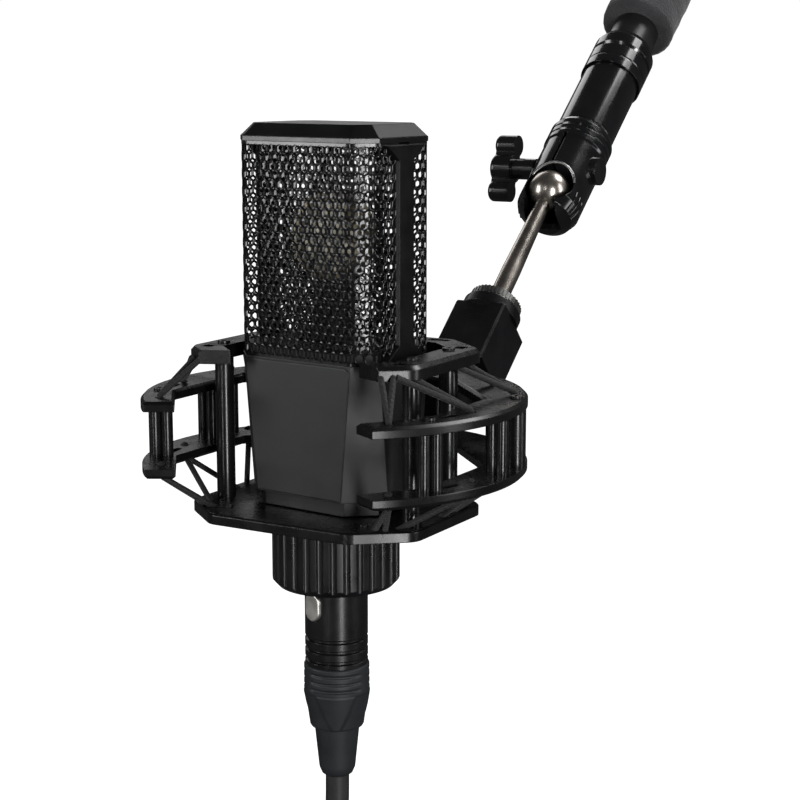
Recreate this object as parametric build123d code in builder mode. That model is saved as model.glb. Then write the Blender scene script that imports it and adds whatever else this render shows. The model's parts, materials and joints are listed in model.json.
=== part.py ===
from build123d import *

import os
from math import cos, radians, sin

# A slab-bodied studio microphone in an elastic shock mount, on the ball head of a boom arm.
# All sizes are millimetres. The origin is the mouth of the arm's threaded socket.

# Directions in the arm: both lean back from the vertical in the YZ plane.
ARM_LEAN = 49.7
STEM_LEAN = 48.3
MIC_TURN = -5.5          # how far the microphone is turned in its cradle
RUNNING = 0.08           # radial clearance of a running fit
GAP = 0.3                # clearance between bodies that don't fit each other

# Places along the arm, measured from the foot of its axis beside the ball.
ARM_LENGTH = 164.0
BALL_OFFSET = 4.8
STEM_REACH = 98.0
PIVOT_BACK = 74.0
PIVOT_DROP = 90.0

# Ball head
BALL_R = 7.5
HEAD_R = 11.8
BAND_R = 12.3
HEAD_LOW = -11.0
HEAD_TOP = 33.0
SLOT_HALF = 6.3
BARREL_R = 11.1
BARREL_TOP = 72.0
SCREW_AT = 16.0
SCREW_R = 2.9
COLLAR_R = 12.0
COLLAR_LOW = 65.0
COLLAR_TOP = 84.5
NECK_R = 9.0
FOAM_R = 14.7
FOAM_LOW = 97.0
FOAM_TOP = 150.0
SOCKET_R = 7.94
SOCKET_DEPTH = 15.0

# Adapter block and stem
BLOCK_HALF = 9.7
BLOCK_FRONT = -9.2
BLOCK_REAR = 12.2
BLOCK_LOW = 11.0
BLOCK_TOP = 34.8
TONGUE_HALF = 5.5
TONGUE_R = 8.0
BUSH_R = 10.6
BUSH_TOP = 39.6
NUT_R = 9.5
NUT_TOP = 42.5
PIN_R = 3.0

# Microphone, heights from the top edge of its cap rim
MIC_HALF_X = 26.0
MIC_HALF_Y = 18.0
MIC_CUT = 6.1
CAP_TOP = 3.8
RIM_H = 1.45
GRILLE_LOW = -65.6
GRILLE_WALL = 1.2
BODY_LOW = -106.75
BODY_CUT = 10.0
BODY_WALL = 2.2
BASE_LOW = -111.4
SPINE_OUT = 1.0
CAPSULE_Z = -30.0
CAPSULE_R = 13.0
PLATFORM_TOP = -62.0
STUB_R = 13.72
STUB_LOW = -135.3
CONNECTOR_R = 8.15
PIN_CIRCLE = 4.1

# Cradle
CRADLE_X = 40.2
CRADLE_Y = 32.6
CRADLE_CUT_X = 16.0
CRADLE_CUT_Y = 13.0
CRADLE_FRAME = 9.8
CRADLE_TOP = -63.5
CRADLE_TOP_T = 4.3
CRADLE_LOW = -115.0
CRADLE_LOW_T = 3.3
CRADLE_POST = (33.5, 10.8)
CRADLE_POST_R = 2.9

# Outer ring
RING_R = 58.8
RING_HALF_OPEN = 42.5
RING_UPPER = -77.5
RING_UPPER_T = 3.1
RING_LOWER = -101.0
RING_LOWER_T = 3.0
RING_SIDE = 44.2
RING_REAR = 38.5

# Retaining ring, plug and cable
NUT_RING_R = 19.75
NUT_RING_TOP = -115.3
NUT_RING_LOW = -137.3
FLUTES = 30
PLUG_R = 9.85
PLUG_TOP = -117.4
PLUG_SHOULDER = -135.9
PLUG_LOW = -163.0
BOOT_LOW = -200.0
LATCH_AZ = -14.0
LATCH_Z = -143.5
CABLE_R = 3.75
COIL_MEAN = 41.0
COIL_R = 14.0
COIL_X = 12.0
COIL_Z = -288.0
TAIL_TOP = -318.0
FAR_TOP = -345.0

X_DIR = Vector(1, 0, 0)
UP = Vector(0, 0, 1)


def leaning(angle):
    """A direction in the YZ plane that leans back from the vertical by the angle."""
    return Vector(0, sin(radians(angle)), cos(radians(angle)))


ARM_DIR = leaning(ARM_LEAN)
ARM_FRONT = leaning(ARM_LEAN - 90)
STEM_DIR = leaning(STEM_LEAN)
ARM_FOOT = ARM_DIR * -ARM_LENGTH
BALL = ARM_FOOT + ARM_FRONT * BALL_OFFSET
PIVOT = BALL - STEM_DIR * STEM_REACH
RIM = PIVOT + Vector(0, -PIVOT_BACK, PIVOT_DROP)
MIC_X = Vector(cos(radians(MIC_TURN)), sin(radians(MIC_TURN)), 0)
MIC_FRONT = Vector(sin(radians(MIC_TURN)), -cos(radians(MIC_TURN)), 0)


def level(height):
    """A horizontal plane of the shock mount, at a height from the cap rim."""
    return Plane(RIM + UP * height, x_dir=X_DIR, z_dir=UP)


def mic_level(height):
    """A horizontal plane turned with the microphone."""
    return Plane(RIM + UP * height, x_dir=MIC_X, z_dir=UP)


def mic_face(depth):
    """A plane through the capsule that faces the microphone's front, at a depth forwards."""
    return Plane(RIM + UP * CAPSULE_Z + MIC_FRONT * depth, x_dir=MIC_X, z_dir=MIC_FRONT)


def mic_side(side):
    """A plane on the microphone's axis that faces its left or right side."""
    return Plane(RIM, x_dir=MIC_FRONT * -side, z_dir=MIC_X * side)


def along_arm(distance):
    """A plane across the arm, at a distance up its axis. Its y axis points back and down."""
    return Plane(ARM_FOOT + ARM_DIR * distance, x_dir=X_DIR, z_dir=ARM_DIR)


def along_stem(distance):
    """A plane across the ball's stem, at a distance from the hinge pin."""
    return Plane(PIVOT + STEM_DIR * distance, x_dir=X_DIR, z_dir=STEM_DIR)


def lengthwise(origin, direction):
    """A plane along a turned piece: x is its radius and y runs up its axis."""
    return Plane(origin, x_dir=X_DIR, z_dir=X_DIR.cross(direction))


ARM_SECTION = lengthwise(ARM_FOOT, ARM_DIR)
STEM_SECTION = lengthwise(PIVOT, STEM_DIR)
MIC_SECTION = lengthwise(RIM, UP)

os.makedirs("parts", exist_ok=True)


def keep(piece, name):
    """Label a finished piece and write it to its own file."""
    piece.part.label = name
    export_step(piece.part, f"parts/{name}.step")


def spin(section, *points):
    """Revolve a closed outline about the y axis of its section plane."""
    with BuildSketch(section) as outline:
        with BuildLine():
            Polyline(*points, close=True)
        make_face()
    revolve(outline.sketch, axis=Axis(section.origin, section.y_dir))


def disc(plane, radius, amount, mode=Mode.ADD):
    """A cylinder that stands on a plane."""
    with BuildSketch(plane) as base:
        Circle(radius)
    extrude(base.sketch, amount=amount, mode=mode)


def slab(half_x, half_y, cut):
    """An outline with its four corners cut at 45 degrees."""
    cut_rectangle(half_x, half_y, cut, cut)


def cut_rectangle(half_x, half_y, cut_x, cut_y, mode=Mode.ADD):
    """A rectangle with its four corners cut off."""
    corner_x, corner_y = half_x - cut_x, half_y - cut_y
    quarter = [(corner_x, -half_y), (half_x, -corner_y), (half_x, corner_y), (corner_x, half_y)]
    Polygon(*quarter, *[(-x, -y) for x, y in quarter], align=None, mode=mode)


def four(place):
    """The four mirror places of a point."""
    x, y = place
    return [(x, y), (-x, y), (-x, -y), (x, -y)]


def both(*places):
    """Points and their mirror places on the other side."""
    return [*places, *[(-x, y) for x, y in places]]


# ---------------------------------------------------------------- arm end

with BuildPart() as arm_socket:
    spin(ARM_SECTION, (0, 138), (8.0, 138), (8.0, 148), (12.5, 148), (12.5, 163), (11.5, ARM_LENGTH),
         (0, ARM_LENGTH))
    disc(along_arm(ARM_LENGTH - SOCKET_DEPTH), SOCKET_R, SOCKET_DEPTH, Mode.SUBTRACT)
keep(arm_socket, "arm_socket")

with BuildPart() as neck_tube:
    spin(ARM_SECTION, (6.0, 57), (NECK_R, 57), (NECK_R, 148), (8.0, 148), (8.0, 138), (6.0, 138))
keep(neck_tube, "neck_tube")

with BuildPart() as foam_grip:
    spin(ARM_SECTION, (NECK_R, FOAM_LOW), (FOAM_R - 1.5, FOAM_LOW), (FOAM_R, FOAM_LOW + 1.5),
         (FOAM_R, FOAM_TOP - 4.5), (FOAM_R - 1.5, FOAM_TOP - 2.0), (NECK_R, FOAM_TOP - 2.0))
keep(foam_grip, "foam_grip")

with BuildPart() as knurled_collar:
    wide, narrow = BARREL_R + GAP, NECK_R + RUNNING
    step = BARREL_TOP + GAP
    spin(ARM_SECTION, (wide, COLLAR_LOW), (COLLAR_R, COLLAR_LOW), (COLLAR_R, 69), (11.85, 69.5),
         (COLLAR_R, 70), (COLLAR_R, 75), (11.0, 76), (COLLAR_R, 77), (COLLAR_R, 81.5),
         (10.6, COLLAR_TOP), (narrow, COLLAR_TOP), (narrow, step), (wide, step))
keep(knurled_collar, "knurled_collar")

# ---------------------------------------------------------------- ball head

BALL_PLANE = along_arm(0).shift_origin(BALL)
MOUTH_R = 8.2
MOUTH_TURN = 0.5         # how far the mouth is widened to the right, as a slope

with BuildPart() as socket_head:
    spin(ARM_SECTION, (0, HEAD_LOW), (7.0, HEAD_LOW), (10.2, -8.5), (HEAD_R, -4.5), (HEAD_R, 22.5),
         (BAND_R, 23.5), (BAND_R, 25.5), (11.7, 26), (BAND_R, 26.5), (BAND_R, 28.5), (11.7, 29),
         (BAND_R, 29.5), (BAND_R, 31.5), (11.7, HEAD_TOP), (0, HEAD_TOP))
    with BuildSketch(Plane(ARM_FOOT + ARM_DIR * SCREW_AT, x_dir=ARM_DIR, z_dir=X_DIR)):
        Circle(5.2)
    extrude(amount=13.6)
    with Locations(BALL_PLANE):
        Sphere(BALL_R + RUNNING, mode=Mode.SUBTRACT)
        Box(2 * SLOT_HALF, 30, 30, align=(Align.CENTER, Align.MAX, Align.MAX), mode=Mode.SUBTRACT)
        Box(2 * SLOT_HALF, 9, 30, align=(Align.CENTER, Align.MIN, Align.MAX), mode=Mode.SUBTRACT)
        Box(1.2, 60, 24, align=(Align.CENTER, Align.CENTER, Align.MIN), mode=Mode.SUBTRACT)
    for slope in (0, MOUTH_TURN):
        with BuildSketch(Plane(BALL, x_dir=ARM_DIR, z_dir=ARM_FRONT + X_DIR * slope)) as mouth:
            Circle(MOUTH_R)
        extrude(mouth.sketch, amount=20, mode=Mode.SUBTRACT)
    with BuildSketch(Plane(ARM_FOOT + ARM_DIR * SCREW_AT + X_DIR * 9, x_dir=ARM_DIR, z_dir=X_DIR)):
        Circle(SCREW_R + GAP)
    extrude(amount=-30, mode=Mode.SUBTRACT)
keep(socket_head, "socket_head")

with BuildPart() as swivel_barrel:
    bore = NECK_R + RUNNING
    spin(ARM_SECTION, (0, HEAD_TOP), (10.6, HEAD_TOP), (BARREL_R, HEAD_TOP + 1), (BARREL_R, BARREL_TOP),
         (bore, BARREL_TOP), (bore, 56.5), (0, 56.5))
keep(swivel_barrel, "swivel_barrel")

KNOB_IN = 22.0
KNOB_T = 8.5
LOBE_AT = 9.0

with BuildPart() as wing_screw:
    knob_side = Plane(ARM_FOOT + ARM_DIR * SCREW_AT, x_dir=ARM_DIR, z_dir=X_DIR * -1)
    disc(knob_side.offset(-8), SCREW_R, KNOB_IN + 8)
    with BuildSketch(knob_side.offset(12.6)):
        Circle(4.0)
    extrude(amount=KNOB_IN - 12.6)
    with BuildSketch(knob_side.offset(KNOB_IN)):
        Circle(5.4)
        with Locations(Rotation(0, 0, -30)):
            Rectangle(2 * LOBE_AT, 5.2)
            with Locations((LOBE_AT, 0), (-LOBE_AT, 0)):
                Circle(4.0)
    extrude(amount=KNOB_T)
    fillet(wing_screw.faces().sort_by(Axis.X)[0].edges(), 1.6)
keep(wing_screw, "wing_screw")

# ---------------------------------------------------------------- ball stem and adapter

NECK_AT_BALL = 2.7
STEM_FOOT_R = 3.5

NECK_END = STEM_REACH - (BALL_R**2 - NECK_AT_BALL**2) ** 0.5

with BuildPart() as ball_stem:
    with BuildSketch(STEM_SECTION):
        with BuildLine():
            Polyline((0, STEM_REACH + BALL_R), (0, 22), (PIN_R, 22), (PIN_R, NUT_TOP + 1),
                     (STEM_FOOT_R, NUT_TOP + 2), (STEM_FOOT_R, 58), (NECK_AT_BALL, NECK_END))
            ThreePointArc((NECK_AT_BALL, NECK_END), (BALL_R, STEM_REACH), (0, STEM_REACH + BALL_R))
        make_face()
    revolve(axis=Axis(PIVOT, STEM_DIR))
keep(ball_stem, "ball_stem")

with BuildPart() as jam_nut:
    with BuildSketch(along_stem(BUSH_TOP + GAP)):
        Circle(NUT_R)
        Circle(PIN_R + RUNNING, mode=Mode.SUBTRACT)
        with PolarLocations(NUT_R, 40):
            Rectangle(0.7, 0.7, mode=Mode.SUBTRACT)
    extrude(amount=NUT_TOP - BUSH_TOP - GAP)
keep(jam_nut, "jam_nut")

with BuildPart() as adapter_bush:
    spin(STEM_SECTION, (PIN_R + RUNNING, 22), (6.5, 22), (6.5, BLOCK_TOP), (BUSH_R, BLOCK_TOP),
         (BUSH_R, BUSH_TOP - 1), (BUSH_R - 1, BUSH_TOP), (PIN_R + RUNNING, BUSH_TOP))
keep(adapter_bush, "adapter_bush")

with BuildPart() as adapter_block:
    depth = BLOCK_REAR - BLOCK_FRONT
    with BuildSketch(along_stem(BLOCK_LOW)):
        with Locations((0, (BLOCK_REAR + BLOCK_FRONT) / 2)):
            Rectangle(2 * BLOCK_HALF, depth)
    extrude(amount=BLOCK_TOP - BLOCK_LOW)
    chamfer(adapter_block.edges().filter_by(Axis(PIVOT, STEM_DIR)), 0.8)
    with BuildSketch(Plane(PIVOT - X_DIR * TONGUE_HALF, x_dir=STEM_DIR, z_dir=X_DIR)):
        Circle(TONGUE_R)
        with Locations((BLOCK_LOW / 2 + 0.5, 0)):
            Rectangle(BLOCK_LOW + 1, 2 * TONGUE_R)
        Circle(PIN_R + RUNNING, mode=Mode.SUBTRACT)
    extrude(amount=2 * TONGUE_HALF)
    disc(along_stem(20), 6.5, BLOCK_TOP - 20, Mode.SUBTRACT)
keep(adapter_block, "adapter_block")

# ---------------------------------------------------------------- outer ring


def ring_outline():
    """The ring's plan: round outside, eight-sided inside and open at the front."""
    end_x, end_y = RING_R * sin(radians(RING_HALF_OPEN)), -RING_R * cos(radians(RING_HALF_OPEN))
    in_x, in_y = end_x - 8.0, end_y + 4.65
    Circle(RING_R)
    Polygon((in_x, in_y), (RING_SIDE, -22), (RING_SIDE, 14), (20, RING_REAR), (-20, RING_REAR),
            (-RING_SIDE, 14), (-RING_SIDE, -22), (-in_x, in_y), align=None, mode=Mode.SUBTRACT)
    Polygon((in_x, in_y), (end_x + 16.0, end_y - 9.3), (end_x + 16.0, -80), (-end_x - 16.0, -80),
            (-end_x - 16.0, end_y - 9.3), (-in_x, in_y), align=None, mode=Mode.SUBTRACT)


CORD_HOLES = both((40.0, -35.0), (51.5, -8.0), (49.5, 24.0), (36.0, 36.0))


def ring_plate(height, thickness):
    """One plate of the outer ring, with its cord holes and slots."""
    with BuildSketch(level(height)) as plan:
        ring_outline()
        with Locations(*CORD_HOLES):
            Circle(1.5, mode=Mode.SUBTRACT)
        with Locations(Location((49.3, -16, 0), (0, 0, 80)), Location((-49.3, -16, 0), (0, 0, -80))):
            SlotOverall(7, 2.4, mode=Mode.SUBTRACT)
    extrude(plan.sketch, amount=thickness)


with BuildPart() as ring_upper_plate:
    ring_plate(RING_UPPER - RING_UPPER_T, RING_UPPER_T)
    rim_edges = ring_upper_plate.faces().sort_by(Axis.Z)[-1].outer_wire().edges()
    chamfer(rim_edges, 0.9)
keep(ring_upper_plate, "ring_upper_plate")

with BuildPart() as ring_lower_plate:
    ring_plate(RING_LOWER, RING_LOWER_T)
    rim_edges = ring_lower_plate.faces().sort_by(Axis.Z)[0].outer_wire().edges()
    chamfer(rim_edges, 0.9)
keep(ring_lower_plate, "ring_lower_plate")

POST_LOW = RING_LOWER + RING_LOWER_T
POST_H = RING_UPPER - RING_UPPER_T - POST_LOW
TWIN_R = 1.9
TWINS = [((47.6, -25.0), 40.0), ((52.6, 6.0), -6.0)]

with BuildPart() as ring_twin_posts:
    for (x, y), turn in TWINS:
        for side in (1, -1):
            with BuildSketch(level(POST_LOW)):
                with Locations(Location((side * x, y, 0), (0, 0, turn))):
                    with GridLocations(1.9 * TWIN_R, 1, 2, 1):
                        Circle(TWIN_R)
            extrude(amount=POST_H)
keep(ring_twin_posts, "ring_twin_posts")

with BuildPart() as ring_rear_posts:
    with BuildSketch(level(POST_LOW)):
        with Locations(*both((52.8, 18.0))):
            Circle(3.0)
    extrude(amount=POST_H)
keep(ring_rear_posts, "ring_rear_posts")

EAR_IN = TONGUE_HALF + GAP
EAR_OUT = 11.8

with BuildPart() as hub_bracket:
    with BuildSketch(level(POST_LOW)):
        with Locations((0, 49.3)):
            Rectangle(27, 16.4)
    extrude(amount=POST_H)
    fillet(hub_bracket.edges().filter_by(Axis.Z), 2)
    for side in (EAR_IN, -EAR_OUT):
        with BuildSketch(Plane(PIVOT + X_DIR * side, x_dir=(0, 1, 0), z_dir=X_DIR)):
            Circle(7.8)
            with Locations((-9, 0)):
                Rectangle(18, 15.6)
            Circle(PIN_R, mode=Mode.SUBTRACT)
        extrude(amount=EAR_OUT - EAR_IN)
keep(hub_bracket, "hub_bracket")

with BuildPart() as hinge_pin:
    across = Plane(PIVOT - X_DIR * 14.6, x_dir=(0, 1, 0), z_dir=X_DIR)
    with BuildSketch(across):
        Circle(5.4)
        RegularPolygon(2.4, 6, mode=Mode.SUBTRACT)
    extrude(amount=14.6 - EAR_OUT)
    disc(across.offset(1.4), PIN_R, 25.0)
    with BuildSketch(across.offset(14.6 + EAR_OUT)):
        RegularPolygon(5.4, 6)
    extrude(amount=2.6)
keep(hinge_pin, "hinge_pin")


def cap_screws(plane, places, radius, height):
    """Low screw heads with a hexagon recess."""
    with BuildSketch(plane) as heads:
        with Locations(*places):
            Circle(radius)
            RegularPolygon(radius * 0.5, 6, mode=Mode.SUBTRACT)
    extrude(heads.sketch, amount=height)


with BuildPart() as ring_screws:
    cap_screws(level(RING_UPPER), both((52.8, 18.0), (47.6, -25.0)), 1.9, 0.9)
    cap_screws(level(RING_UPPER), [(-8, 50), (8, 50)], 2.4, 1.0)
keep(ring_screws, "ring_screws")

# ---------------------------------------------------------------- inner cradle

FRAME_LOW = CRADLE_LOW + CRADLE_LOW_T
FRAME_HIGH = CRADLE_TOP - CRADLE_TOP_T

with BuildPart() as cradle_top_plate:
    with BuildSketch(level(FRAME_HIGH)) as top_outline:
        cut_rectangle(CRADLE_X, CRADLE_Y, CRADLE_CUT_X, CRADLE_CUT_Y)
        fillet(top_outline.vertices(), 6)
    extrude(amount=CRADLE_TOP_T)
    chamfer(cradle_top_plate.faces().sort_by(Axis.Z)[-1].edges(), 1.2)
    with BuildSketch(level(FRAME_HIGH)):
        cut_rectangle(CRADLE_X - CRADLE_FRAME, CRADLE_Y - CRADLE_FRAME, 8.0, 7.0)
        Polygon((21.5, -22), (50, -34.7), (50, -60), (-50, -60), (-50, -34.7), (-21.5, -22), align=None)
        with Locations(*four((34.0, 17.5))):
            Rectangle(3.6, 4.4)
        with Locations(*both((20.5, 28.0))):
            SlotOverall(8, 2.6)
    extrude(amount=CRADLE_TOP_T, mode=Mode.SUBTRACT)
keep(cradle_top_plate, "cradle_top_plate")

with BuildPart() as cradle_bottom_plate:
    with BuildSketch(level(CRADLE_LOW)) as low_outline:
        cut_rectangle(CRADLE_X, CRADLE_Y, CRADLE_CUT_X, CRADLE_CUT_Y)
        fillet(low_outline.vertices(), 6)
    extrude(amount=CRADLE_LOW_T)
    chamfer(cradle_bottom_plate.faces().sort_by(Axis.Z)[-1].edges(), 0.5)
    with BuildSketch(level(CRADLE_LOW)):
        Circle(STUB_R + 0.4)
        with Locations(*four((34.0, 19.0))):
            Circle(1.4)
    extrude(amount=CRADLE_LOW_T, mode=Mode.SUBTRACT)
keep(cradle_bottom_plate, "cradle_bottom_plate")

with BuildPart() as cradle_posts:
    with BuildSketch(level(FRAME_LOW)):
        with Locations(*four(CRADLE_POST)):
            Circle(CRADLE_POST_R)
    extrude(amount=FRAME_HIGH - FRAME_LOW)
keep(cradle_posts, "cradle_posts")

with BuildPart() as cradle_screws:
    cap_screws(level(CRADLE_TOP), four(CRADLE_POST), 1.9, 0.8)
    cap_screws(level(CRADLE_LOW - 1.2), four(CRADLE_POST), 2.4, 1.2)
    cap_screws(level(FRAME_LOW), both((24.0, -22.5)), 1.3, 0.6)
keep(cradle_screws, "cradle_screws")

# ---------------------------------------------------------------- elastic cords

ELASTIC_R = 1.1
CLEAR = 1.4              # how far a strand's end stays from the plate it is tied to


def strand(low, high):
    """One straight strand of elastic between two points given from the cap rim."""
    start, end = RIM + Vector(*low), RIM + Vector(*high)
    disc(Plane(start, z_dir=end - start), ELASTIC_R, (end - start).length)


RING_HIGH = RING_UPPER + CLEAR
RING_UNDER = RING_LOWER - CLEAR
CRADLE_UNDER = FRAME_HIGH - CLEAR
CRADLE_OVER = FRAME_LOW + CLEAR
UPPER_STRANDS = [
    ((48.0, -29.0, RING_HIGH), (34.5, -19.0, CRADLE_UNDER)),
    ((51.5, -8.0, RING_HIGH), (36.5, 3.0, CRADLE_UNDER)),
    ((49.5, 24.0, RING_HIGH), (34.5, 20.0, CRADLE_UNDER)),
    ((36.0, 36.0, RING_HIGH), (24.0, 27.5, CRADLE_UNDER)),
]
LOWER_STRANDS = [
    ((34.0, -19.0, CRADLE_OVER), (41.0, -34.5, RING_UNDER)),
    ((36.5, 3.0, CRADLE_OVER), (51.5, -8.0, RING_UNDER)),
    ((34.0, 19.0, CRADLE_OVER), (49.5, 24.0, RING_UNDER)),
    ((22.0, 27.5, CRADLE_OVER), (36.0, 36.0, RING_UNDER)),
]


def strands(places, side):
    """All the strands of one corner pair, on one side."""
    for (x0, y0, z0), (x1, y1, z1) in places:
        strand((side * x0, y0, z0), (side * x1, y1, z1))


with BuildPart() as elastic_upper_right:
    strands(UPPER_STRANDS, 1)
keep(elastic_upper_right, "elastic_upper_right")

with BuildPart() as elastic_upper_left:
    strands(UPPER_STRANDS, -1)
keep(elastic_upper_left, "elastic_upper_left")

with BuildPart() as elastic_lower_right:
    strands(LOWER_STRANDS, 1)
keep(elastic_lower_right, "elastic_lower_right")

with BuildPart() as elastic_lower_left:
    strands(LOWER_STRANDS, -1)
keep(elastic_lower_left, "elastic_lower_left")

# ---------------------------------------------------------------- microphone head

INNER = (MIC_HALF_X - GRILLE_WALL, MIC_HALF_Y - GRILLE_WALL, MIC_CUT - 0.7)

with BuildPart() as head_cap:
    with BuildSketch(mic_level(-RIM_H)):
        slab(*INNER)
    extrude(amount=RIM_H)
    with BuildSketch(mic_level(0)):
        slab(MIC_HALF_X, MIC_HALF_Y, MIC_CUT)
    with BuildSketch(mic_level(CAP_TOP)):
        slab(MIC_HALF_X - CAP_TOP, MIC_HALF_Y - CAP_TOP, MIC_CUT - CAP_TOP * (2 - 2**0.5))
    loft(ruled=True)
keep(head_cap, "head_cap")

with BuildPart() as cap_rim:
    with BuildSketch(mic_level(-RIM_H)):
        slab(MIC_HALF_X + 0.1, MIC_HALF_Y + 0.1, MIC_CUT)
        cut_rectangle(INNER[0], INNER[1], INNER[2], INNER[2], mode=Mode.SUBTRACT)
    extrude(amount=RIM_H)
keep(cap_rim, "cap_rim")

SPINE_HALF = 4.3
SPINE_WIDE = MIC_HALF_Y - MIC_CUT


def spine_outline():
    """The side strip: narrow between the grilles and spread at both ends."""
    top, low = -RIM_H, GRILLE_LOW
    half = [(SPINE_WIDE, top), (SPINE_HALF, top - 5.5), (SPINE_HALF, low + 5.5), (SPINE_WIDE, low)]
    Polygon(*half, *[(-x, y) for x, y in reversed(half)], align=None)


def spine(side):
    """One solid strip on the microphone's side, slightly proud of the grille."""
    with BuildSketch(mic_side(side).offset(INNER[0])) as strip:
        spine_outline()
    extrude(strip.sketch, amount=GRILLE_WALL + SPINE_OUT, taper=20)


with BuildPart() as right_spine:
    spine(1)
keep(right_spine, "right_spine")

with BuildPart() as left_spine:
    spine(-1)
keep(left_spine, "left_spine")


def grille_half(front):
    """Half of the grille: the front or the rear shell between the two side strips."""
    with BuildSketch(mic_level(GRILLE_LOW)) as wall:
        slab(MIC_HALF_X, MIC_HALF_Y, MIC_CUT)
        cut_rectangle(INNER[0], INNER[1], INNER[2], INNER[2], mode=Mode.SUBTRACT)
    extrude(wall.sketch, amount=-RIM_H - GRILLE_LOW)
    for side in (1, -1):
        with BuildSketch(mic_side(side).offset(INNER[0] - 2)) as strip:
            spine_outline()
        extrude(strip.sketch, amount=6, mode=Mode.SUBTRACT)
    split(bisect_by=Plane(RIM, z_dir=MIC_FRONT * front), keep=Keep.TOP)


with BuildPart() as front_grille:
    grille_half(1)
keep(front_grille, "front_grille")

with BuildPart() as rear_grille:
    grille_half(-1)
keep(rear_grille, "rear_grille")

with BuildPart() as platform:
    with BuildSketch(mic_level(GRILLE_LOW)):
        slab(INNER[0] - 0.1, INNER[1] - 0.1, INNER[2])
    extrude(amount=PLATFORM_TOP - GRILLE_LOW)
keep(platform, "platform")

with BuildPart() as capsule_backplate:
    with BuildSketch(mic_face(-2.5)):
        Circle(CAPSULE_R)
        with PolarLocations(11.7, 8):
            Circle(0.6, mode=Mode.SUBTRACT)
    extrude(amount=5.0)
keep(capsule_backplate, "capsule_backplate")

MEMBRANE_R = 10.6

with BuildPart() as diaphragms:
    disc(mic_face(2.5), MEMBRANE_R, 0.3)
    disc(mic_face(-2.8), MEMBRANE_R, 0.3)
keep(diaphragms, "diaphragms")

with BuildPart() as clamp_rings:
    for depth in (2.5, -4.3):
        with BuildSketch(mic_face(depth)):
            Circle(CAPSULE_R)
            Circle(MEMBRANE_R, mode=Mode.SUBTRACT)
            with PolarLocations(11.8, 8):
                Circle(0.6, mode=Mode.SUBTRACT)
        extrude(amount=1.8)
keep(clamp_rings, "clamp_rings")

with BuildPart() as capsule_saddle:
    with BuildSketch(mic_face(-2)):
        with Locations((0, -58.0 - CAPSULE_Z)):
            Rectangle(13, 17, align=(Align.CENTER, Align.MIN))
        Circle(CAPSULE_R, mode=Mode.SUBTRACT)
    extrude(amount=4)
keep(capsule_saddle, "capsule_saddle")

with BuildPart() as isolation_mount:
    with BuildSketch(mic_level(PLATFORM_TOP)):
        RectangleRounded(22, 12, 3)
    extrude(amount=-58.0 - PLATFORM_TOP, taper=15)
keep(isolation_mount, "isolation_mount")

# ---------------------------------------------------------------- microphone body

with BuildPart() as body_shell:
    with BuildSketch(mic_level(BODY_LOW)):
        slab(MIC_HALF_X, MIC_HALF_Y, BODY_CUT)
    with BuildSketch(mic_level(GRILLE_LOW)):
        slab(MIC_HALF_X, MIC_HALF_Y + 0.2, MIC_CUT)
    loft(ruled=True)
    with BuildSketch(mic_level(BODY_LOW)):
        slab(MIC_HALF_X - BODY_WALL, MIC_HALF_Y - BODY_WALL, BODY_CUT - 1.2)
    with BuildSketch(mic_level(GRILLE_LOW)):
        slab(MIC_HALF_X - BODY_WALL, MIC_HALF_Y - BODY_WALL, MIC_CUT - 1.2)
    loft(ruled=True, mode=Mode.SUBTRACT)
keep(body_shell, "body_shell")

with BuildPart() as base_ring:
    with BuildSketch(mic_level(BASE_LOW)):
        slab(22.6, 15.6, 7.5)
        Circle(CONNECTOR_R, mode=Mode.SUBTRACT)
    extrude(amount=BODY_LOW - BASE_LOW)
keep(base_ring, "base_ring")

with BuildPart() as threaded_stub:
    outer = [(STUB_R, BASE_LOW), (STUB_R, STUB_LOW + 1), (STUB_R - 1, STUB_LOW)]
    spin(MIC_SECTION, (CONNECTOR_R, BASE_LOW), *outer, (CONNECTOR_R, STUB_LOW))
keep(threaded_stub, "threaded_stub")

with BuildPart() as circuit_board:
    with BuildSketch(Plane(RIM - MIC_FRONT * 0.8, x_dir=MIC_X, z_dir=MIC_FRONT)):
        with Locations((0, -88)):
            Rectangle(34, 32)
            with Locations(*four((14.5, 13.5))):
                Circle(1.2, mode=Mode.SUBTRACT)
    extrude(amount=1.6)
keep(circuit_board, "circuit_board")

with BuildPart() as board_parts:
    with BuildSketch(Plane(RIM + MIC_FRONT * 0.8, x_dir=MIC_X, z_dir=MIC_FRONT)):
        with Locations((-9, -80), (0, -80), (9, -80)):
            Circle(3.6)
    extrude(amount=9)
    with BuildSketch(Plane(RIM - MIC_FRONT * 0.8, x_dir=MIC_X, z_dir=MIC_FRONT * -1)):
        with Locations((0, 90)):
            Rectangle(15, 13)
    extrude(amount=10)
keep(board_parts, "board_parts")

CONTACTS = [PIN_CIRCLE * Vector(sin(radians(a)), -cos(radians(a))) for a in (0, 120, 240)]

with BuildPart() as output_insert:
    with BuildSketch(mic_level(BASE_LOW - 5)):
        Circle(CONNECTOR_R)
        with Locations(*CONTACTS):
            Circle(1.2, mode=Mode.SUBTRACT)
    extrude(amount=4)
keep(output_insert, "output_insert")

with BuildPart() as output_pins:
    with BuildSketch(mic_level(-133)):
        with Locations(*CONTACTS):
            Circle(1.2)
    extrude(amount=133 + BASE_LOW)
    tips = output_pins.faces().sort_by(Axis.Z)[:3]
    fillet([edge for tip in tips for edge in tip.edges()], 0.8)
keep(output_pins, "output_pins")

# ---------------------------------------------------------------- retaining ring

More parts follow.
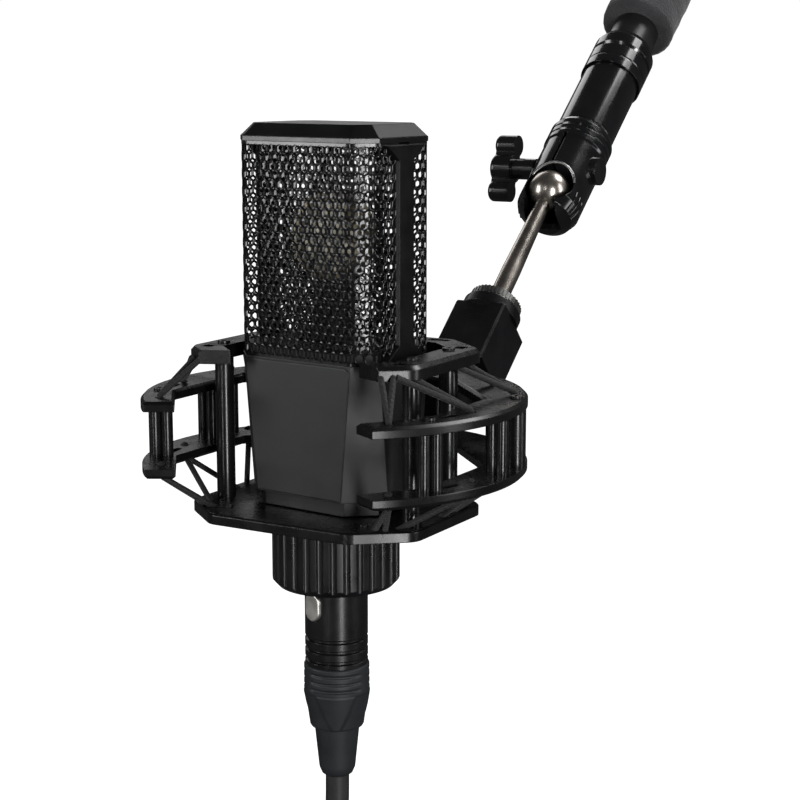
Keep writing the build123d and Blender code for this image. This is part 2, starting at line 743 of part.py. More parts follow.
with BuildPart() as retaining_ring:
    bore = STUB_R + RUNNING
    spin(MIC_SECTION, (bore, NUT_RING_TOP), (18.6, NUT_RING_TOP), (NUT_RING_R, NUT_RING_TOP - 0.8),
         (NUT_RING_R, -135.4), (18.0, NUT_RING_LOW), (bore, NUT_RING_LOW))
    with BuildSketch(level(-118.2)):
        with PolarLocations(NUT_RING_R + 0.35, FLUTES):
            Circle(1.15)
    extrude(amount=-20, mode=Mode.SUBTRACT)
keep(retaining_ring, "retaining_ring")

# ---------------------------------------------------------------- cable plug


def groove(low):
    """The corner points of a shallow groove round the plug, from its lower edge up."""
    return [(PLUG_R, low), (PLUG_R - 0.7, low + 0.4), (PLUG_R - 0.7, low + 1.0), (PLUG_R, low + 1.4)]


LATCH_OUT = Vector(sin(radians(LATCH_AZ)), -cos(radians(LATCH_AZ)), 0)
LATCH_ACROSS = Vector(cos(radians(LATCH_AZ)), sin(radians(LATCH_AZ)), 0)
LATCH_PLANE = Plane(RIM + UP * LATCH_Z, x_dir=LATCH_ACROSS, z_dir=LATCH_OUT)
PLUG_BORE = 6.9
NOSE_R = CONNECTOR_R - 0.05

with BuildPart() as plug_shell:
    spin(MIC_SECTION, (PLUG_BORE, PLUG_TOP), (NOSE_R, PLUG_TOP), (NOSE_R, PLUG_SHOULDER),
         (PLUG_R, PLUG_SHOULDER), *reversed(groove(-155.0)), *reversed(groove(-158.4)),
         *reversed(groove(-161.8)), (PLUG_R, PLUG_LOW), (PLUG_BORE, PLUG_LOW))
    with BuildSketch(LATCH_PLANE.offset(7.6)):
        SlotOverall(9.6, 6.6, rotation=90)
    extrude(amount=5, mode=Mode.SUBTRACT)
keep(plug_shell, "plug_shell")

with BuildPart() as plug_insert:
    with BuildSketch(mic_level(-155)):
        Circle(PLUG_BORE)
    extrude(amount=155 + PLUG_TOP - 0.4)
    with BuildSketch(mic_level(PLUG_TOP - 0.4)):
        with Locations(*CONTACTS):
            Circle(1.2 + GAP)
    extrude(amount=-18, mode=Mode.SUBTRACT)
keep(plug_insert, "plug_insert")

with BuildPart() as plug_latch:
    with BuildSketch(LATCH_PLANE.offset(9.0)):
        SlotOverall(9.0, 6.0, rotation=90)
    extrude(amount=1.6)
    fillet(plug_latch.faces().sort_by(Axis(RIM, LATCH_OUT))[-1].edges(), 0.5)
keep(plug_latch, "plug_latch")


def boot(section, top, low):
    """A cable boot: a ribbed bush that tapers to the cable."""
    spin(section, (0, top), (10.25, top), (10.25, top - 3.5), (8.5, top - 20.5), (7.0, top - 20.5),
         (5.6, low + 1.5), (4.6, low), (0, low))


with BuildPart() as plug_bushing:
    boot(MIC_SECTION, PLUG_LOW, BOOT_LOW)
keep(plug_bushing, "plug_bushing")

# ---------------------------------------------------------------- cable

COIL_OUTER = COIL_MEAN + COIL_R
CABLE_END = COIL_Z + (COIL_OUTER**2 - COIL_X**2) ** 0.5

with BuildPart() as cable:
    disc(level(CABLE_END), CABLE_R, BOOT_LOW - CABLE_END)
keep(cable, "cable")

COIL_CENTRE = RIM + Vector(COIL_X, 0, COIL_Z)
COIL_AXIS = Axis(COIL_CENTRE, (0, 1, 0))

with BuildPart() as cable_coil:
    with BuildSketch(Plane(COIL_CENTRE, x_dir=X_DIR, z_dir=(0, 0, 1))):
        with Locations((COIL_MEAN, 0)):
            Circle(COIL_R)
    revolve(axis=COIL_AXIS)
keep(cable_coil, "cable_coil")

TIE_ARC = 22
TIE_END = 26

with BuildPart() as coil_tie:
    start = Vector(sin(radians(TIE_END)), 0, cos(radians(TIE_END)))
    with BuildSketch(Plane(COIL_CENTRE, x_dir=start, z_dir=start.cross(Vector(0, 1, 0)))):
        with Locations((COIL_MEAN, 0)):
            Circle(COIL_R + 1.6)
            Circle(COIL_R + 0.1, mode=Mode.SUBTRACT)
    revolve(axis=COIL_AXIS, revolution_arc=-TIE_ARC)
keep(coil_tie, "coil_tie")

TAIL_X = COIL_X - COIL_MEAN - 7.5

with BuildPart() as cable_tail:
    tail_plane = level(FAR_TOP).shift_origin(RIM + Vector(TAIL_X, 0, FAR_TOP))
    disc(tail_plane, CABLE_R, TAIL_TOP - FAR_TOP)
keep(cable_tail, "cable_tail")

FAR_SECTION = lengthwise(RIM + Vector(TAIL_X, 0, FAR_TOP), UP)
FAR_SHELL_TOP = -37.0
FAR_SHELL_LOW = -82.0

with BuildPart() as far_plug_bushing:
    points = [(0, 0), (4.6, 0), (5.6, -1.5), (7.0, -16.5), (8.5, -16.5), (10.25, -33.5),
              (10.25, FAR_SHELL_TOP), (0, FAR_SHELL_TOP)]
    spin(FAR_SECTION, *points)
keep(far_plug_bushing, "far_plug_bushing")

with BuildPart() as far_plug_shell:
    bore = CONNECTOR_R
    spin(FAR_SECTION, (bore, FAR_SHELL_TOP), (PLUG_R, FAR_SHELL_TOP), (PLUG_R, -44), (9.3, -44.6),
         (9.3, -45.4), (PLUG_R, -46), (PLUG_R, -78), (9.5, FAR_SHELL_LOW), (bore, FAR_SHELL_LOW))
keep(far_plug_shell, "far_plug_shell")

with BuildPart() as far_plug_core:
    far_plane = Plane(FAR_SECTION.origin, x_dir=X_DIR, z_dir=UP)
    disc(far_plane.offset(-62), CONNECTOR_R, 62 + FAR_SHELL_TOP)
    with BuildSketch(far_plane.offset(-78)):
        with Locations(*CONTACTS):
            Circle(1.2)
    extrude(amount=17)
keep(far_plug_core, "far_plug_core")
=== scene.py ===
import json
from math import cos, pi, radians, sin, sqrt

import bmesh
import bpy
from mathutils import Matrix, Vector


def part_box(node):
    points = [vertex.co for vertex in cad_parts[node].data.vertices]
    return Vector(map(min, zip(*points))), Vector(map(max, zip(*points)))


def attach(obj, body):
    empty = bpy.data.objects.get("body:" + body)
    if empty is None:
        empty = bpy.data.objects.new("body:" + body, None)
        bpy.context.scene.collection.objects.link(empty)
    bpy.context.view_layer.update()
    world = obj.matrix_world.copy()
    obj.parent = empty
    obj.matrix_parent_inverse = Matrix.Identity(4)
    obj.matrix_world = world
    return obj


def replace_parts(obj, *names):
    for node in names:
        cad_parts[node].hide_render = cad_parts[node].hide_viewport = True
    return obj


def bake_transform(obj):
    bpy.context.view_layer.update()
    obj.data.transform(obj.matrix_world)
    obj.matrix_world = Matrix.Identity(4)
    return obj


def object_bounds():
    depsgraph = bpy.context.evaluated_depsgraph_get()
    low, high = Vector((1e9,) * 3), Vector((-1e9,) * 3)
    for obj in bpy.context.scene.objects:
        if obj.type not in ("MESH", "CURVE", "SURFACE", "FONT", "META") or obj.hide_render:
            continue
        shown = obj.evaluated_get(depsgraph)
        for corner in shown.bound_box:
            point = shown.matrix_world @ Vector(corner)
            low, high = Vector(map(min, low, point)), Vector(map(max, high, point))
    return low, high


# A slab-bodied studio microphone in an elastic shock mount, on the ball head of a boom arm.
# Lengths are metres, and MM turns the design's millimetres into them.

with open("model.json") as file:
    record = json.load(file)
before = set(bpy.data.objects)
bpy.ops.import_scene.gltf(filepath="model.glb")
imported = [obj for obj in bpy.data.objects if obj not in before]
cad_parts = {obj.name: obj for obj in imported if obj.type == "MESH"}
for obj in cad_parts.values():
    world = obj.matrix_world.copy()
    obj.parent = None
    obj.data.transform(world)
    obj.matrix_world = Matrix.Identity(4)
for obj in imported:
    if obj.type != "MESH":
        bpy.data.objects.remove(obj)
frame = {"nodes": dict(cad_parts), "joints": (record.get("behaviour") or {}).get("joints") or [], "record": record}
cad_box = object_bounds()
nodes = frame["nodes"]
joints = {joint["name"]: joint for joint in frame["joints"]}
MM = 0.001
UP = Vector((0, 0, 1))
RIGHT = Vector((1, 0, 0))

# ---------------------------------------------------------------- places from the frame

rim_low, rim_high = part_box("cap_rim")
RIM = Vector(((rim_low[0] + rim_high[0]) / 2, (rim_low[1] + rim_high[1]) / 2, rim_high[2]))
ARM_FOOT = Vector(joints["head_swivel"]["pos_m"])
ARM_DIR = Vector(joints["head_swivel"]["axis"]).normalized()
BALL = Vector(joints["ball_tilt"]["pos_m"])
ARM_FRONT = (BALL - ARM_FOOT).normalized()
MIC_TURN = radians(-5.5)


def mount(x, y, z):
    """A point of the shock mount, in millimetres from the top of the microphone's cap rim."""
    return RIM + Vector((x, y, z)) * MM


def mic(x, y, z):
    """A point that turns with the microphone in its cradle, in millimetres from the cap rim."""
    return RIM + Matrix.Rotation(MIC_TURN, 3, "Z") @ Vector((x, y, z)) * MM


# ---------------------------------------------------------------- camera

CAMERA_PLACE = (0.2949, -0.736553, -0.057705)
CAMERA_TURN = (radians(79.65), 0, radians(30.52))

camera = bpy.data.objects.new("camera", bpy.data.cameras.new("camera"))
camera.location = CAMERA_PLACE
camera.rotation_euler = CAMERA_TURN
camera.data.sensor_width = 36
camera.data.lens = 81.99
camera.data.clip_start = 0.01
bpy.context.scene.collection.objects.link(camera)
bpy.context.scene.camera = camera

# ---------------------------------------------------------------- materials


def add_node(tree, kind, inputs=None, **settings):
    """A shader node with its settings and its constant inputs."""
    node = tree.nodes.new("ShaderNode" + kind)
    for name, value in settings.items():
        setattr(node, name, value)
    for name, value in (inputs or {}).items():
        node.inputs[name].default_value = value
    return node


def height_texture(tree, place, pattern, size):
    """The texture that a finish takes its relief from, and the socket that carries it."""
    if pattern == "cells":
        cells = add_node(tree, "TexVoronoi", {"Scale": 1 / size, "Randomness": 0.9})
        tree.links.new(place, cells.inputs["Vector"])
        return cells.outputs["Distance"]
    if pattern == "weave":
        first = add_node(tree, "TexWave", {"Scale": 0.16 / size, "Distortion": 1.5}, bands_direction="Z")
        second = add_node(tree, "TexWave", {"Scale": 0.16 / size, "Distortion": 1.5},
                          bands_direction="DIAGONAL")
        crossed = add_node(tree, "Math", operation="MAXIMUM")
        for wave, socket in ((first, 0), (second, 1)):
            tree.links.new(place, wave.inputs["Vector"])
            tree.links.new(wave.outputs["Fac"], crossed.inputs[socket])
        return crossed.outputs[0]
    grain = add_node(tree, "TexNoise", {"Scale": 1 / size, "Detail": 3.0, "Roughness": 0.6})
    tree.links.new(place, grain.inputs["Vector"])
    return grain.outputs["Fac"]


def finish(name, color, roughness, metallic=0.0, pattern="grain", size=0.6, height=8, spread=0.06,
           shade=0.25, patch=9.0, edge=0.0, coat=0.0, sheen=0.0, gleam=0.5, stretch=(1, 1, 1)):
    """A procedural material. Size and patch are millimetres, and height is the relief in micrometres."""
    material = bpy.data.materials.new(name)
    material.use_nodes = True
    tree = material.node_tree
    shader = tree.nodes["Principled BSDF"]
    shader.inputs["Metallic"].default_value = metallic
    shader.inputs["Specular IOR Level"].default_value = gleam
    shader.inputs["Coat Weight"].default_value = coat
    shader.inputs["Coat Roughness"].default_value = 0.12
    shader.inputs["Sheen Weight"].default_value = sheen
    shader.inputs["Sheen Roughness"].default_value = 0.5
    where = add_node(tree, "TexCoord")
    mapping = add_node(tree, "Mapping", {"Scale": stretch})
    tree.links.new(where.outputs["Object"], mapping.inputs["Vector"])
    patches = add_node(tree, "TexNoise", {"Scale": 1 / (patch * MM), "Detail": 4.0, "Roughness": 0.55})
    tree.links.new(where.outputs["Object"], patches.inputs["Vector"])
    ramp = add_node(tree, "ValToRGB")
    dark, light = ramp.color_ramp.elements
    dark.position, light.position = 0.3, 0.7
    dark.color = (*[c * (1 - shade) for c in color], 1)
    light.color = (*[min(1.0, c * (1 + shade)) for c in color], 1)
    tree.links.new(patches.outputs["Fac"], ramp.inputs["Fac"])
    tree.links.new(ramp.outputs["Color"], shader.inputs["Base Color"])
    gloss = add_node(tree, "MapRange", {"From Min": 0.3, "From Max": 0.7, "To Min": roughness - spread,
                                        "To Max": roughness + spread})
    tree.links.new(patches.outputs["Fac"], gloss.inputs["Value"])
    tree.links.new(gloss.outputs["Result"], shader.inputs["Roughness"])
    relief = add_node(tree, "Bump", {"Strength": 1.0, "Distance": height * 1e-6})
    tree.links.new(height_texture(tree, mapping.outputs["Vector"], pattern, size * MM),
                   relief.inputs["Height"])
    if edge:
        rounding = add_node(tree, "Bevel", {"Radius": edge * MM}, samples=6)
        tree.links.new(rounding.outputs["Normal"], relief.inputs["Normal"])
    tree.links.new(relief.outputs["Normal"], shader.inputs["Normal"])
    return material


# Colours are linear, sizes and edges are millimetres and heights are micrometres.
FINISHES = {
    # bright_steel also colours the bead round the ball's mouth, where its pale metal is a painted highlight.
    "bright_steel": dict(color=(0.5, 0.5, 0.49), roughness=0.3, metallic=1.0, size=0.3, height=3,
                         edge=0.2),
    "black_tube": dict(color=(0.012, 0.012, 0.013), roughness=0.34),
    "foam": dict(color=(0.04, 0.04, 0.043), roughness=0.95, pattern="cells", size=0.9, height=260,
                 sheen=0.25),
    "gloss_black": dict(color=(0.007, 0.007, 0.008), roughness=0.16, height=1.5, size=1.5, coat=0.4,
                        spread=0.03, edge=0.35),
    "satin_nickel": dict(color=(0.5, 0.455, 0.41), roughness=0.27, metallic=1.0, size=0.25,
                         height=2.0, shade=0.1, stretch=(1, 0.25, 0.25)),
    "knurled_steel": dict(color=(0.34, 0.34, 0.33), roughness=0.33, metallic=1.0, size=0.3,
                          height=6),
    "black_anodised": dict(color=(0.0045, 0.0045, 0.0055), roughness=0.3, size=0.35, height=5,
                           edge=0.3),
    "black_plate": dict(color=(0.0045, 0.0045, 0.005), roughness=0.27, size=0.5, height=6,
                        edge=0.4),
    "black_post": dict(color=(0.006, 0.006, 0.007), roughness=0.24, size=0.4, height=3),
    "black_screw": dict(color=(0.0088, 0.0088, 0.0094), roughness=0.28, size=0.4, height=3,
                        edge=0.15),
    "braided_elastic": dict(color=(0.01, 0.01, 0.011), roughness=0.7, pattern="weave", size=0.5,
                            height=110, sheen=0.12),
    "black_enamel": dict(color=(0.004, 0.004, 0.0045), roughness=0.36, size=0.5, height=4, edge=0.4,
                         gleam=0.3),
    "bright_rim": dict(color=(0.008, 0.008, 0.0085), roughness=0.24, size=0.5, height=2, edge=0.3),
    "perforated_steel": dict(color=(0.0066, 0.0066, 0.0072), roughness=0.2, size=0.8, height=4,
                             coat=0.3, spread=0.05),
    "black_plastic": dict(color=(0.0077, 0.0077, 0.0083), roughness=0.5, size=0.3, height=5,
                          edge=0.2),
    "brass": dict(color=(0.3, 0.26, 0.18), roughness=0.35, metallic=1.0, size=0.3, height=3),
    "gold_film": dict(color=(0.66, 0.62, 0.5), roughness=0.45, metallic=1.0, size=1.5, height=6,
                      shade=0.12),
    "black_rubber": dict(color=(0.02, 0.02, 0.02), roughness=0.7, size=0.4, height=10),
    "grey_panel": dict(color=(0.017, 0.017, 0.0185), roughness=0.5, size=0.3, height=6, edge=0.3),
    "board": dict(color=(0.01, 0.07, 0.03), roughness=0.4, size=1.2, height=12),
    "board_parts": dict(color=(0.04, 0.04, 0.06), roughness=0.4, size=2.0, height=10, edge=0.3),
    "gold_contact": dict(color=(0.75, 0.57, 0.25), roughness=0.22, metallic=1.0, size=0.3,
                         height=2),
    "black_plug": dict(color=(0.006, 0.006, 0.0066), roughness=0.3, size=0.35, height=4, edge=0.15),
    "boot_rubber": dict(color=(0.013, 0.0155, 0.0185), roughness=0.55, size=0.35, height=14,
                        shade=0.18),
    "nickel": dict(color=(0.85, 0.82, 0.75), roughness=0.38, metallic=1.0, size=0.8, height=4,
                   edge=0.3),
    "cable_jacket": dict(color=(0.02, 0.02, 0.0215), roughness=0.5, size=0.5, height=12,
                         shade=0.15),
    "hook_and_loop": dict(color=(0.014, 0.014, 0.015), roughness=0.95, pattern="cells", size=0.5,
                          height=150, sheen=0.5),
}
looks = {name: finish(name, **values) for name, values in FINISHES.items()}

for subpart in frame["record"]["subparts"]:
    mesh = nodes[subpart["node"]].data
    mesh.materials.clear()
    mesh.materials.append(looks[subpart["material_slot"]])

# ---------------------------------------------------------------- mesh helpers


def link(obj, slot, body=None):
    """Put a finished piece in the scene with its material, and let it ride on its body."""
    bpy.context.scene.collection.objects.link(obj)
    obj.data.materials.append(looks[slot])
    if body:
        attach(obj, body)
    return obj


def new_mesh(name, points, faces, smooth=True):
    """A mesh object from points and faces, with its normals turned outwards."""
    data = bpy.data.meshes.new(name)
    data.from_pydata([tuple(p) for p in points], [], faces)
    work = bmesh.new()
    work.from_mesh(data)
    bmesh.ops.remove_doubles(work, verts=work.verts, dist=1e-6)
    bmesh.ops.recalc_face_normals(work, faces=work.faces)
    work.to_mesh(data)
    work.free()
    for face in data.polygons:
        face.use_smooth = smooth
    return bpy.data.objects.new(name, data)


def sharpen(obj, angle=35):
    """Keep the edges crisp where the surface turns by more than the angle."""
    obj.data.set_sharp_from_angle(angle=radians(angle))
    return obj


def grid_faces(rows, columns, closed=True):
    """The faces between rows of points, each row closed on itself or left open."""
    last = columns if closed else columns - 1
    return [(r * columns + c, r * columns + (c + 1) % columns, (r + 1) * columns + (c + 1) % columns,
             (r + 1) * columns + c) for r in range(rows - 1) for c in range(last)]


def turned(name, origin, axis, across, radius_at, places, columns):
    """A closed turned piece: radius_at(place, angle) gives its radius at each place along its axis."""
    side = axis.cross(across)
    points = []
    for place in places:
        for c in range(columns):
            angle = 2 * pi * c / columns
            radius = radius_at(place, angle) * MM
            out = across * cos(angle) + side * sin(angle)
            points.append(origin + axis * place * MM + out * radius)
    rows = len(places)
    ends = [tuple(range(columns)), tuple(range((rows - 1) * columns, rows * columns))]
    return new_mesh(name, points, grid_faces(rows, columns) + ends)


def smooth_step(x):
    """0 below 0, 1 above 1, and a smooth rise between."""
    x = min(1.0, max(0.0, x))
    return x * x * (3 - 2 * x)


def spline(curve, points, order=3):
    """Add a smooth line through the neighbourhood of its points, from the first to the last."""
    line = curve.splines.new("NURBS")
    line.points.add(len(points) - 1)
    for place, point in zip(line.points, points):
        place.co = (*point, 1)
    line.order_u = order
    line.use_endpoint_u = True
    return line


def cord_curve(name, radius, resolution=8):
    """An empty curve that is drawn as a round cord."""
    curve = bpy.data.curves.new(name, "CURVE")
    curve.dimensions = "3D"
    curve.bevel_depth = radius
    curve.bevel_resolution = resolution
    curve.use_fill_caps = True
    return curve


def tubes(name, routes, radius, resolution=4):
    """One mesh of several round strands."""
    curve = cord_curve(name, radius, resolution)
    for route in routes:
        spline(curve, route)
    holder = bpy.data.objects.new(name + "_line", curve)
    bpy.context.scene.collection.objects.link(holder)
    bpy.context.view_layer.update()
    data = bpy.data.meshes.new_from_object(holder.evaluated_get(bpy.context.evaluated_depsgraph_get()))
    bpy.data.objects.remove(holder)
    for face in data.polygons:
        face.use_smooth = True
    return bpy.data.objects.new(name, data)


# ---------------------------------------------------------------- microphone cable

CABLE_R = 3.75
PLUG_LOW = -163.0       # where the plug's shell ends and its boot begins
BOOT_LOW = -200.0       # where the cable leaves the boot
COIL_X, COIL_Z = 12.0, -288.0
COIL_MEAN = 41.0        # the bundle's middle, from the coil's own middle
TAIL_X = -36.5          # the far plug hangs here
FAR_TOP = -345.0        # where the cable enters the far boot
STRAND = 7.8            # from one turn's centre to the next
TURNS = 11
PER_TURN = 14
ENTRY = radians(128)    # where the cable joins the coil, from the +X side round towards +Z


def turn_places():
    """Where each turn lies in the bundle, outwards and backwards, in strands: four packed layers."""
    layers = [(-2, (0,)), (-1, (-1.5, -0.5, 0.5, 1.5)), (0, (2, 1, 0, -1)), (1, (-1.5, -0.5, 0.5))]
    return [(out - 0.25, back * sqrt(3) / 2) for back, row in layers for out in row]


def coil_route():
    """The coil's turns: each one steps over to its next place a little earlier than the turn before."""
    places = turn_places()
    step = 2 * pi / PER_TURN
    pull = 0.75 + 0.25 * cos(step)
    sweep = TURNS * PER_TURN + 2
    route = []
    for i in range(sweep + 1):
        turn = i / PER_TURN
        passed = sum(smooth_step((turn - (k + 0.88 - 0.07 * k)) / 0.16) for k in range(TURNS))
        k = min(int(passed), TURNS - 1)
        part = passed - k
        out, back = [a + (b - a) * part for a, b in zip(places[k], places[k + 1])]
        radius = (COIL_MEAN + out * STRAND) / pull
        angle = ENTRY + step * i
        route.append(mount(COIL_X + radius * cos(angle), back * STRAND, COIL_Z + radius * sin(angle)))
    return route


def cable_route():
    """Straight down from the boot, over the front of the coil, round its turns and down to the plug."""
    lead = [(0, 0, BOOT_LOW), (0, 0, BOOT_LOW - 15), (0, -3, BOOT_LOW - 30), (-4, -10, BOOT_LOW - 44)]
    tail = [(TAIL_X, 4, COIL_Z - 14), (TAIL_X, 1, COIL_Z - 30), (TAIL_X, 0, FAR_TOP + 12),
            (TAIL_X, 0, FAR_TOP)]
    return [mount(*p) for p in lead] + coil_route() + [mount(*p) for p in tail]


def microphone_cable():
    """The 3 m cable, with its spare length tied in a coil."""
    curve = cord_curve("microphone_cable", CABLE_R * MM)
    curve.resolution_u = 5
    spline(curve, cable_route())
    cable = link(bpy.data.objects.new("microphone_cable", curve), "cable_jacket", "plug")
    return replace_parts(cable, "cable", "cable_coil", "cable_tail")


cable = microphone_cable()


BAND_GROOVES = (-2.4, -4.8, -7.2)
LEAF_TOP = -9.0


def cable_boot(name, replaced, top):
    """A cable plug's boot: a grooved band, a sleeve with three leaf-shaped ribs and a tapered bush."""
    sleeve_low = -20.5
    profile = [(0, 9.7), (-0.5, 10.25), (-8.5, 10.3), (sleeve_low + 0.5, 8.7), (sleeve_low, 8.2)]
    cone = [(sleeve_low - 0.1, 7.1), (-34.5, 5.7), (-36.4, 4.9), (-37.0, 4.1)]

    def radius_at(place, angle):
        line = profile if place >= sleeve_low else cone
        radius = line[-1][1]
        for (z0, r0), (z1, r1) in zip(line, line[1:]):
            if z1 <= place <= z0:
                radius = r0 + (r1 - r0) * (z0 - place) / (z0 - z1)
        around = (angle * 3 / (2 * pi)) % 1.0 - 0.5
        for groove in BAND_GROOVES:
            open_part = smooth_step((0.42 - abs(around)) / 0.05)
            radius -= 0.45 * open_part * max(0.0, 1 - ((place - groove) / 0.55) ** 2)
        if sleeve_low < place < LEAF_TOP:
            width = 0.34 * (1 - (LEAF_TOP - place) / 12.5) ** 0.6
            radius += 0.45 * smooth_step((width - abs(around)) / 0.05) - 0.2
        return radius

    places = [-0.25 * i for i in range(82)] + [sleeve_low, sleeve_low - 0.1]
    places += [sleeve_low - 0.6 - 0.9 * i for i in range(18)] + [-36.4, -36.8, -37.0]
    piece = turned(name, top, UP, RIGHT, radius_at, places, 120)
    link(sharpen(piece, 50), "boot_rubber", "plug")
    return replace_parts(piece, replaced)


cable_boot("near_cable_boot", "plug_bushing", mount(0, 0, PLUG_LOW))
far_boot = cable_boot("far_cable_boot", "far_plug_bushing", mount(TAIL_X, 0, FAR_TOP))


def hook_and_loop_tie():
    """A strap round the whole bundle, with its free end lapped over."""
    out_half, back_half, back_centre = 19.0, 15.4, -3.3
    around, along = 64, 8
    first, last = radians(62), radians(84)
    thick, squareness = 1.3, 2.4
    points = []
    for layer in (0, thick):
        for i in range(along + 1):
            angle = first + (last - first) * i / along
            outwards = Vector((cos(angle), 0, sin(angle)))
            for j in range(around):
                turn = 2 * pi * j / around
                c, s = cos(turn), sin(turn)
                size = (abs(c) ** squareness + abs(s) ** squareness) ** (-1 / squareness)
                lap = 0.9 * smooth_step((1.1 - abs(turn - 3.6)) / 0.12)
                out = (out_half + layer + lap) * size * c
                back = (back_half + layer + lap) * size * s + back_centre
                centre = mount(COIL_X, back, COIL_Z)
                points.append(centre + outwards * (COIL_MEAN - 1.5 + out) * MM)
    rows = along + 1
    faces = grid_faces(rows, around)
    faces += [tuple(v + rows * around for v in face) for face in faces]
    for row in (0, along):
        for j in range(around):
            a, b = row * around + j, row * around + (j + 1) % around
            faces.append((a, b, b + rows * around, a + rows * around))
    tie = link(sharpen(new_mesh("coil_strap", points, faces), 50), "hook_and_loop", "plug")
    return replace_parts(tie, "coil_tie")


tie = hook_and_loop_tie()

# ---------------------------------------------------------------- grille

HALF_X, HALF_Y, CUT = 26.0, 18.0, 6.1
FOLD_R = 2.6
CELL = 3.0              # from one hole's centre to the next in its row
WEB = 0.52
SHEET = 0.8
GRILLE_TOP = -1.45
GRILLE_LOW = -65.6
BORDER = 0.9


def folded_outline(front, half_x, half_y, cut):
    """A sheet's outer line from one side strip round to the other, with rounded folds."""
    corners = [(half_x, 2.5), (half_x, half_y - cut), (half_x - cut, half_y)]
    corners = corners + [(-x, y) for x, y in reversed(corners)]
    corners = [Vector((x, -y * front)) for x, y in corners]
    line = [corners[0]]
    for before, corner, after in zip(corners, corners[1:], corners[2:]):
        coming, going = (before - corner).normalized(), (after - corner).normalized()
        half_turn = coming.angle(going) / 2
        reach = FOLD_R / (sin(half_turn) / cos(half_turn))
        centre = corner + (coming + going).normalized() * (FOLD_R / sin(half_turn))
        start = corner + coming * reach - centre
        bend = start.angle_signed(corner + going * reach - centre)
        for i in range(7):
            line.append(centre + Matrix.Rotation(-bend * i / 6, 2) @ start)
    line.append(corners[-1])
    return line


def along_line(line):
    """A function from a distance along a line to the point there and its outward normal."""
    lengths = [0.0]
    for a, b in zip(line, line[1:]):
        lengths.append(lengths[-1] + (b - a).length)

    def at(distance):
        distance = min(max(distance, 0.0), lengths[-1])
        i = max(k for k in range(len(line) - 1) if lengths[k] <= distance + 1e-9)
        part = (distance - lengths[i]) / (lengths[i + 1] - lengths[i])
        point = line[i].lerp(line[i + 1], part)
        tangent = (line[i + 1] - line[i]).normalized()
        normal = Vector((tangent.y, -tangent.x))
        return point, normal if normal.dot(point) > 0 else -normal

    return at, lengths[-1]


def mesh_sheet(name, outline, cell, rings, top, low, border, thick):
    """A folded sheet of six-sided holes in rows, with plain borders at its top and bottom."""
    at, length = along_line(outline)

    def place(distance, height, depth):
        point, normal = at(distance)
        inner = point - normal * depth
        return mic(inner.x, inner.y, height)

    row_step = cell * sqrt(3) / 2
    rows = int((top - low - 0.5) / row_step)
    columns = int(length / cell) + 2
    points, faces = [], []
    for row in range(rows):
        height = (top + low) / 2 + ((rows - 1) / 2 - row) * row_step
        for column in range(columns):
            middle = length / 2 + (column - (columns - 1) / 2 + (row % 2) / 2) * cell
            if not -0.4 * cell < middle < length + 0.4 * cell:
                continue
            first = len(points)
            for radius, depth in rings:
                for k in range(6):
                    angle = radians(90 + 60 * k)
                    across, up = radius * cos(angle), radius * sin(angle)
                    points.append(place(middle + across, height + up, depth))
            faces += [tuple(first + v for v in face) for face in grid_faces(len(rings), 6)]
    steps = 90
    for high, bottom in ((top, top - border), (low + border, low)):
        first = len(points)
        outside, inside = 0.03, thick - 0.02
        for height, depth in ((high, outside), (bottom, outside), (bottom, inside), (high, inside)):
            points += [place(length * i / (steps - 1), height, depth) for i in range(steps)]
        faces += [tuple(first + v for v in face) for face in grid_faces(4, steps, closed=False)]
        faces += [(first + i, first + i + 1, first + 3 * steps + i + 1, first + 3 * steps + i)
                  for i in range(steps - 1)]
    return sharpen(new_mesh(name, points, faces), 40)


def grille(front, name, replaced):
    """Half of the outer grille: holes with rounded edges in a folded sheet."""
    corner_r = CELL / sqrt(3)
    hole_r = corner_r - WEB / sqrt(3)
    rings = [(corner_r, 0.06), (hole_r + 0.13, 0.0), (hole_r + 0.03, 0.06), (hole_r, 0.2),
             (hole_r, SHEET - 0.1), (hole_r + 0.1, SHEET), (corner_r, SHEET)]
    outline = folded_outline(front, HALF_X, HALF_Y, CUT)
    piece = mesh_sheet(name, outline, CELL, rings, GRILLE_TOP, GRILLE_LOW, BORDER, SHEET)
    link(piece, "perforated_steel", "microphone")
    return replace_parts(piece, replaced)


LINER_X, LINER_Y, LINER_CUT = 22.0, 14.6, 4.6
LINER_CELL = 2.1
LINER_WEB = 0.74
LINER_T = 0.3


def liner(front, name):
    """Half of the finer mesh that stands inside the grille."""
    corner_r = LINER_CELL / sqrt(3)
    hole_r = corner_r - LINER_WEB / sqrt(3)
    rings = [(corner_r, 0.0), (hole_r, 0.0), (hole_r, LINER_T), (corner_r, LINER_T)]
    outline = folded_outline(front, LINER_X, LINER_Y, LINER_CUT)
    piece = mesh_sheet(name, outline, LINER_CELL, rings, GRILLE_TOP - 0.2, -61.6, BORDER, LINER_T)
    return link(piece, "perforated_steel", "microphone")


grille(1, "front_mesh", "front_grille")
grille(-1, "rear_mesh", "rear_grille")
liner(1, "front_liner")
liner(-1, "rear_liner")

# ---------------------------------------------------------------- front panel

BODY_TOP, BODY_LOW = -65.6, -106.75
PANEL_PROUD = 0.45


